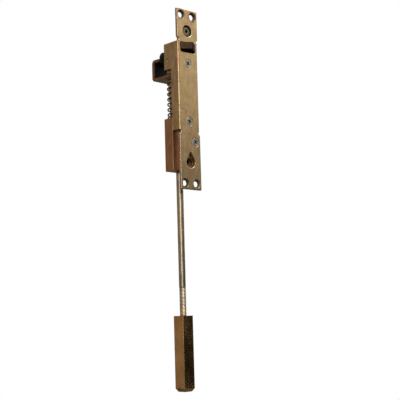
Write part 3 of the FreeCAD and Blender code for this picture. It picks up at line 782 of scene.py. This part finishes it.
def keyCutter():
    half, reach, steps = rod["keyHalf"], rod["keyReach"], rod["keySteps"]
    low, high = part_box("guide_screw")
    screwZ = (low.z + high.z) / 2
    outline = []
    for start, middle in ((0, screwZ + throw + reach - half), (math.pi, screwZ - reach + half)):
        for i in range(steps + 1):
            a = start + math.pi * i / steps
            outline.append((half * math.cos(a), middle + half * math.sin(a)))
    front, back = rodAxisY - 2 * rodRadius, rodAxisY - rodRadius + rod["keyDeep"]
    return loft("keySlot", [[(x, y, z) for x, z in outline] for y in (front, back)])


def makeRod():
    loops = []
    for z in rodHeights():
        loop = []
        for i in range(rod["steps"]):
            share = i / rod["steps"]
            a, r = 2 * math.pi * share, rodRadius - rodCut(z, share)
            loop.append((r * math.cos(a), rodAxisY + r * math.sin(a), z))
        loops.append(loop)
    piece = carve(loft("pullRodThreaded", loops), keyCutter())
    return finishPiece(evenNormals(piece, 24), "rodSteel", "bolt_slide", "pull_rod")


makeRod()
print("rod made")

nut = {"bore": 3.23 * mm, "edge": 0.35 * mm, "chamfer": 0.55, "cornerPast": 1.02, "steps": 96}


def makeNut():  # a hexagon whose corners are turned off at both ends
    low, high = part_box("rod_nut")
    bore, edge, flats, tall = nut["bore"], nut["edge"], (high.x - low.x) / 2, high.z - low.z
    corner = flats / math.cos(math.pi / 6)
    middle = (0, rodAxisY)
    hexagons = [circle(corner, z, 6, middle, math.pi / 6) for z in (low.z, high.z)]
    past, slope = corner * nut["cornerPast"], (corner - flats) * nut["chamfer"]
    profile = [
        (bore, edge), (bore + edge, 0), (flats, 0), (past, slope), (past, tall - slope),
        (flats, tall), (bore + edge, tall), (bore, tall - edge),
    ]
    centre = Vector((0, rodAxisY, low.z))
    turned = revolve("nutTurning", profile, centre, (0, 0, 1), nut["steps"])
    piece = carve(loft("rodNutHexagon", hexagons), turned, "INTERSECT")
    return finishPiece(evenNormals(piece, 28), "screwZinc", "bolt_slide", "rod_nut")


makeNut()


# cross-recess screws: one shape set on points by a geometry tree
plateScrew = {
    "headRadius": 4.2 * mm, "headHeight": 2.2 * mm, "edge": 0.32 * mm, "edgeSlope": 0.8,
    "shankRadius": 2.05 * mm, "length": 8.6 * mm, "neck": 0.3 * mm, "plainEnd": 0.6 * mm,
    "threadPitch": 0.8 * mm, "threadDepth": 0.22 * mm,
    "tipWidth": 0.8, "tipEnd": 0.6, "tipEdge": 0.1 * mm,
    "recess": 2.5 * mm, "slot": 0.62 * mm, "recessMouth": (1.1, 1.08), "recessFloor": (0.42, 0.6),
    "deep": 1.7 * mm, "lead": -0.3 * mm, "turnRange": 3.0, "seed": 4,
}


def screwProfile(size):
    head, edge, shank = size["headRadius"], size["edge"], size["shankRadius"]
    length, pitch = size["length"], size["threadPitch"]
    slope = edge * size["edgeSlope"]
    profile = [(0, 0), (head - edge, 0), (head, slope), (shank, size["headHeight"])]
    z = size["headHeight"] + size["neck"]
    while z < length - size["plainEnd"]:
        profile += [(shank, z), (shank - size["threadDepth"], z + pitch / 2)]
        z += pitch
    profile.append((shank * size["tipWidth"], length - size["tipEdge"]))
    return profile + [(shank * size["tipEnd"], length), (0, length)]


def screwShape(size):
    piece = revolve("screwShape", screwProfile(size), Vector((0, 0, 0)), (0, 1, 0), 48)
    ends = ((size["deep"], size["recessFloor"]), (size["lead"], size["recessMouth"]))
    for across in (True, False):
        loops = []
        for y, (longer, wider) in ends:
            long, narrow = size["recess"] * longer, size["slot"] * wider
            x, z = (long, narrow) if across else (narrow, long)
            loops.append([(-x, y, -z), (x, y, -z), (x, y, z), (-x, y, z)])
        carve(piece, loft("crossBlade", loops))
    softEdges(piece.data, 30)
    return piece


def screwTree(shape, material, seed):
    tree, graph, value, ids = newTree("setScrews", {"Turn Range": 3.0, "Size": 1.0})
    points = graph.make("GeometryNodeMeshToPoints", {}, {0: value["Geometry"]})
    info = graph.make("GeometryNodeObjectInfo", {}, {"Object": shape}, "Geometry")
    turn = graph.make("FunctionNodeRandomValue", {"data_type": "FLOAT"}, {
        2: 0, 3: value["Turn Range"], "Seed": seed}, 1)
    spin = graph.make("ShaderNodeCombineXYZ", {}, {0: 0, 1: turn, 2: 0})
    put = graph.make("GeometryNodeInstanceOnPoints", {}, {
        "Points": points, "Instance": info, "Rotation": spin, "Scale": value["Size"]})
    endTree(graph, put, material)
    return tree, ids


def setScrews(size):
    low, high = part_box("carrier_screw")
    spots = [((low.x + high.x) / 2, 0, (low.z + high.z) / 2)]
    low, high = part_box("block_screws")
    head = size["headRadius"]
    spots += [(low.x + head, 0, high.z - head), (high.x - head, 0, low.z + head)]
    mesh = bpy.data.meshes.new("plateScrews")
    mesh.from_pydata(spots, [], [])
    shape = screwShape(size)
    tree, ids = screwTree(shape, made["screwZinc"], size["seed"])
    turns = {"Turn Range": size["turnRange"], "Size": 1.0}
    piece = evenNormals(grown("plateScrews", tree, ids, turns, mesh), 30)
    bpy.data.objects.remove(shape)
    return finishPiece(piece, "screwZinc", "housing", "carrier_screw", "block_screws")


setScrews(plateScrew)
print("screws set")

floorSheet = {
    "size": 0.4, "below": 22 * mm, "squares": 8, "mottle": (14, 3, 0.5), "roughness": 0.9,
    "dark": (0.90, 0.90, 0.90, 1), "pale": (0.94, 0.94, 0.93, 1), "glow": 0.3,
}


def makeFloor(sheet):
    shape = bmesh.new()
    squares = sheet["squares"]
    bmesh.ops.create_grid(shape, x_segments=squares, y_segments=squares, size=sheet["size"] / 2)
    floor = linked("floor", meshFrom("floor", shape))
    floor.data.transform(Matrix.Translation((0, 0, cadBox[0][2] - sheet["below"])))
    material, graph = newMaterial("floorPaper")
    mottle = graph.noise(graph.place(), *sheet["mottle"])
    setSurface(graph, {
        "Base Color": graph.blend(mottle, sheet["dark"], sheet["pale"]),
        "Roughness": sheet["roughness"],
        "Emission Color": (1, 1, 1, 1), "Emission Strength": sheet["glow"],
    })
    floor.data.materials.append(material)
    floor.visible_glossy = False  # the metal mirrors the soft studio, not the paper below it


makeFloor(floorSheet)

# the soft studio: each lobe is the side it lies on, and where it begins and is full
studio = {
    "lobes": {
        "frontRight": ((0.7, -0.72), (0.72, 0.9)), "frontLeft": ((-0.7, -0.7), (0.5, 0.9)),
        "right": ((0.98, 0.2), (0.8, 0.95)), "rearLeft": ((-0.7, 0.7), (0.3, 0.8)),
    },
    "sideLevel": 0.3, "skyFrom": (0.35, 0.9), "skyLevel": 0.6,
    "frontLeftFrom": (0.02, 0.2), "frontLeftLevel": 0.3,
    "rightLevel": 0.95, "rightFallFrom": (0.03, 0.16), "rightFall": 0.9,
    "darkLevel": 0.012, "darkRiseFrom": (0.05, 0.32), "darkRise": 0.92,
    "belowFrom": (0.05, 0.3), "belowFall": 0.6,
    "green": 0.985, "blue": 0.95, "rearGreen": 0.11, "rearBlue": 0.17,
}


def makeWorld():
    world = bpy.data.worlds.new("studio")
    world.use_nodes = True
    bpy.context.scene.world = world
    graph = Graph(world.node_tree)
    graph.tree.nodes.clear()
    x, y, z = graph.split(graph.make("ShaderNodeTexCoord", {}, {}, "Generated"))
    lobe = {}
    for name, ((sideX, sideY), span) in studio["lobes"].items():
        lobe[name] = (x * sideX + y * sideY).step(*span)
    above = lobe["frontLeft"] * z.step(*studio["frontLeftFrom"])
    side = z.step(*studio["skyFrom"]) * studio["skyLevel"] + studio["sideLevel"]
    side += above * studio["frontLeftLevel"]
    rightSide = studio["rightLevel"] - z.step(*studio["rightFallFrom"]) * studio["rightFall"]
    side = side * (1 - lobe["right"]) + rightSide * lobe["right"]
    dark = z.step(*studio["darkRiseFrom"]) * studio["darkRise"] + studio["darkLevel"]
    level = side * (1 - lobe["frontRight"]) + dark * lobe["frontRight"]
    level = level * (1 - (0 - z).step(*studio["belowFrom"]) * studio["belowFall"])
    green = level * (studio["green"] - lobe["rearLeft"] * studio["rearGreen"])
    blue = level * (studio["blue"] - lobe["rearLeft"] * studio["rearBlue"])
    seen = graph.make("ShaderNodeLightPath", {}, {}, "Is Camera Ray")
    colour = graph.blend(seen, graph.colourOf(level, green, blue), (1, 1, 1, 1))
    background = graph.make("ShaderNodeBackground", {}, {"Color": colour, "Strength": 1.0})
    graph.add("ShaderNodeOutputWorld", {}, {0: background})


makeWorld()


def wayBack(azimuth, elevation):  # unit vector from the object towards a lamp or the camera
    a, e = math.radians(azimuth), math.radians(elevation)
    return Vector((math.sin(a) * math.cos(e), -math.cos(a) * math.cos(e), math.sin(e)))


# lamps: azimuth and elevation, distance and size in metres, power in watts, colour
lamps = {
    "frontLeftStrip": ((-44, 14), 1.7, (0.45, 1.3), 6, (1, 0.98, 0.94)),
    "topSoft": ((30, 78), 1.3, (1.2, 1.2), 18, (1, 1, 1)),
}
for name, (angles, distance, size, power, colour) in lamps.items():
    lamp = bpy.data.lights.new(name, "AREA")
    lamp.shape = "RECTANGLE"
    lamp.size, lamp.size_y = size
    lamp.energy = power
    lamp.color = colour
    light = linked(name, lamp)
    light.location = wayBack(*angles) * distance
    light.rotation_euler = wayBack(*angles).to_track_quat("Z", "Y").to_euler()

view = {
    "azimuth": -44.2348, "elevation": -7.2444, "roll": 1.7031, "distance": 853.03 * mm,
    "target": (10.28 * mm, 0, -94.83 * mm), "lens": 82.6299, "sensor": 36,
}


def makeCamera(view):
    back = wayBack(view["azimuth"], view["elevation"])
    a, r = math.radians(view["azimuth"]), math.radians(view["roll"])
    right = Vector((math.cos(a), math.sin(a), 0))
    up = back.cross(right)
    right, up = right * math.cos(r) - up * math.sin(r), right * math.sin(r) + up * math.cos(r)
    optics = bpy.data.cameras.new("camera")
    optics.sensor_width = view["sensor"]
    optics.lens = view["lens"]
    camera = linked("camera", optics)
    stand = Matrix((right, up, back)).transposed().to_4x4()
    stand.translation = Vector(view["target"]) + back * view["distance"]
    camera.matrix_world = stand
    bpy.context.scene.camera = camera


makeCamera(view)
bpy.context.scene.view_settings.view_transform = "Standard"
print("stage made")
